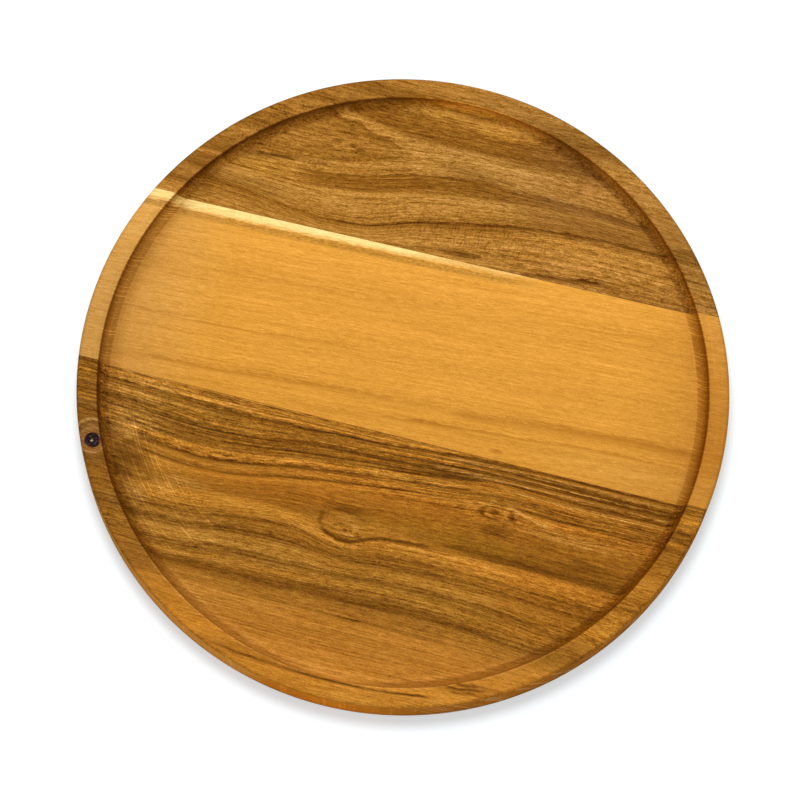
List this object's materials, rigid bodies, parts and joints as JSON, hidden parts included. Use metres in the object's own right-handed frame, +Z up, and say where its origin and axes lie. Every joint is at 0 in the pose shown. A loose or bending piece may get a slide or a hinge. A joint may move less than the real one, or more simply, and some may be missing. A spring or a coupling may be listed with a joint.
{
  "type": "pizza serving board",
  "caption": "Round wooden pizza serving board of edge-glued staves, with a sunk flat floor and a routed cove inside a raised flat rim.",
  "frame": {"origin": "centre of the underside, on the surface that the board lies on", "axes": "+Z up out of the serving floor, +X along the grain and the seams, +Y across the staves towards the upper stave"},
  "size_m": [0.33, 0.33, 0.02],
  "materials": {
    "upper_wood": "oiled satin, brown with dark cathedral figure",
    "middle_wood": "oiled satin, plain honey gold with a pale sapwood edge",
    "lower_wood": "oiled satin, brown with dark olive streaks",
    "glue": "cured wood glue, sanded flush",
    "knot_wood": "near-black dead knot, sanded flush, slightly glossy"
  },
  "bodies": {
    "root": {"upper_stave": "upper_wood", "middle_stave": "middle_wood", "lower_stave": "lower_wood", "upper_glue_line": "glue", "lower_glue_line": "glue", "rim_knot": "knot_wood"}
  },
  "joints": []
}
